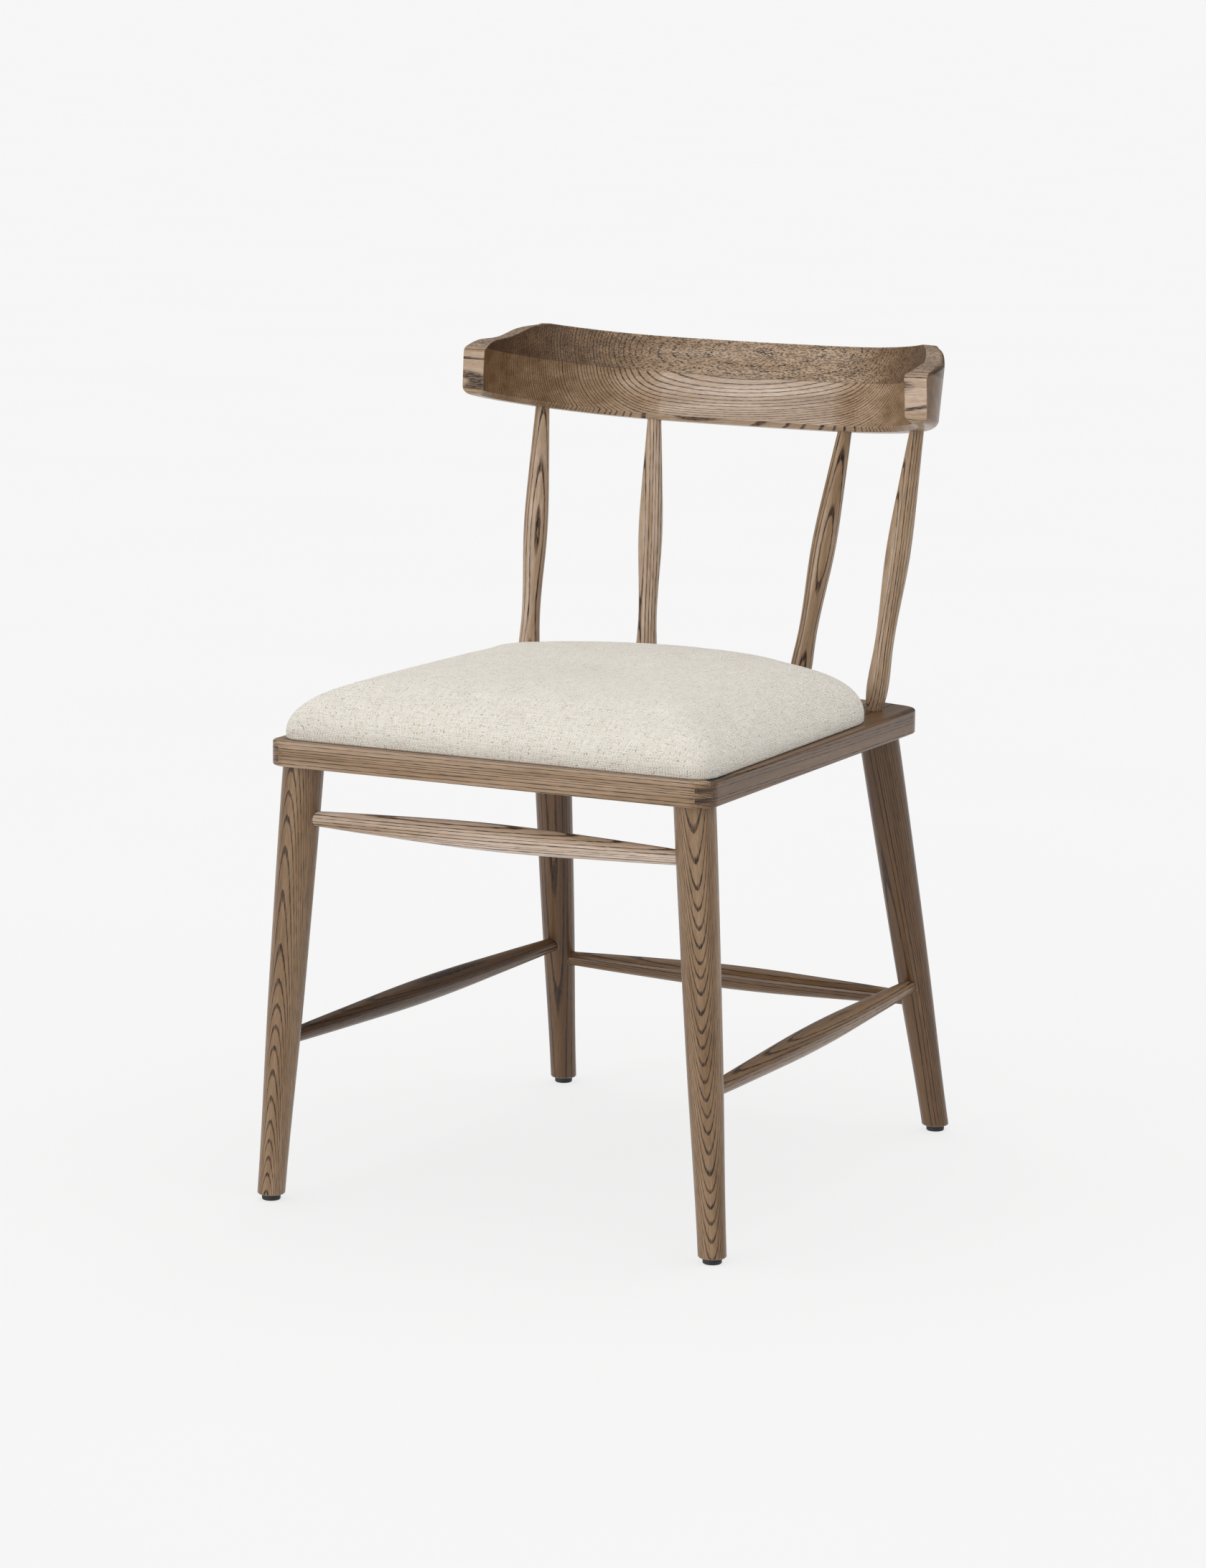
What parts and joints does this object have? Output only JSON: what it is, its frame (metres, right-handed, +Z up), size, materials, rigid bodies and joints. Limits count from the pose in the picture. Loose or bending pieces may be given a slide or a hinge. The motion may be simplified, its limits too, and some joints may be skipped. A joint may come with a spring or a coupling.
{
  "type": "dining chair",
  "caption": "Wooden dining chair without arms: round tapered splayed legs, swelling stretchers, turned spindles, C-shaped crest rail and a crowned upholstered seat.",
  "frame": {"origin": "on the floor, under the middle of the chair's outline", "axes": "+Z up, -Y the way the sitter faces, +X the sitter's left hand side"},
  "size_m": [0.5078, 0.5946, 0.8015],
  "materials": {
    "stained_ash": "satin, grey-brown stain, open pores darker",
    "plain_wood": "raw",
    "plywood": "raw",
    "seat_fabric": "woven, off-white with brown flecks",
    "seat_foam": "open-cell foam, matte",
    "dust_cloth": "thin black non-woven",
    "glide_black": "matte black",
    "screw_steel": "zinc plated"
  },
  "bodies": {
    "root": {"crest_rail": "stained_ash", "spindle_outer_left": "stained_ash", "spindle_inner_left": "stained_ash", "spindle_inner_right": "stained_ash", "spindle_outer_right": "stained_ash", "seat_front_rail": "stained_ash", "seat_left_rail": "stained_ash", "seat_right_rail": "stained_ash", "seat_back_rail": "stained_ash", "stretcher_front": "stained_ash", "stretcher_left": "stained_ash", "stretcher_right": "stained_ash", "stretcher_rear": "stained_ash", "leg_front_left": "stained_ash", "leg_front_right": "stained_ash", "leg_rear_left": "stained_ash", "leg_rear_right": "stained_ash", "glide_front_left": "glide_black", "corner_block_front_left": "plain_wood", "glide_front_right": "glide_black", "corner_block_front_right": "plain_wood", "glide_rear_left": "glide_black", "corner_block_rear_left": "plain_wood", "glide_rear_right": "glide_black", "corner_block_rear_right": "plain_wood", "rail_dowels": "plain_wood", "seat_cover": "seat_fabric", "seat_foam": "seat_foam", "seat_panel": "plywood", "dust_cover": "dust_cloth", "block_screws": "screw_steel", "seat_screws": "screw_steel"}
  },
  "joints": []
}
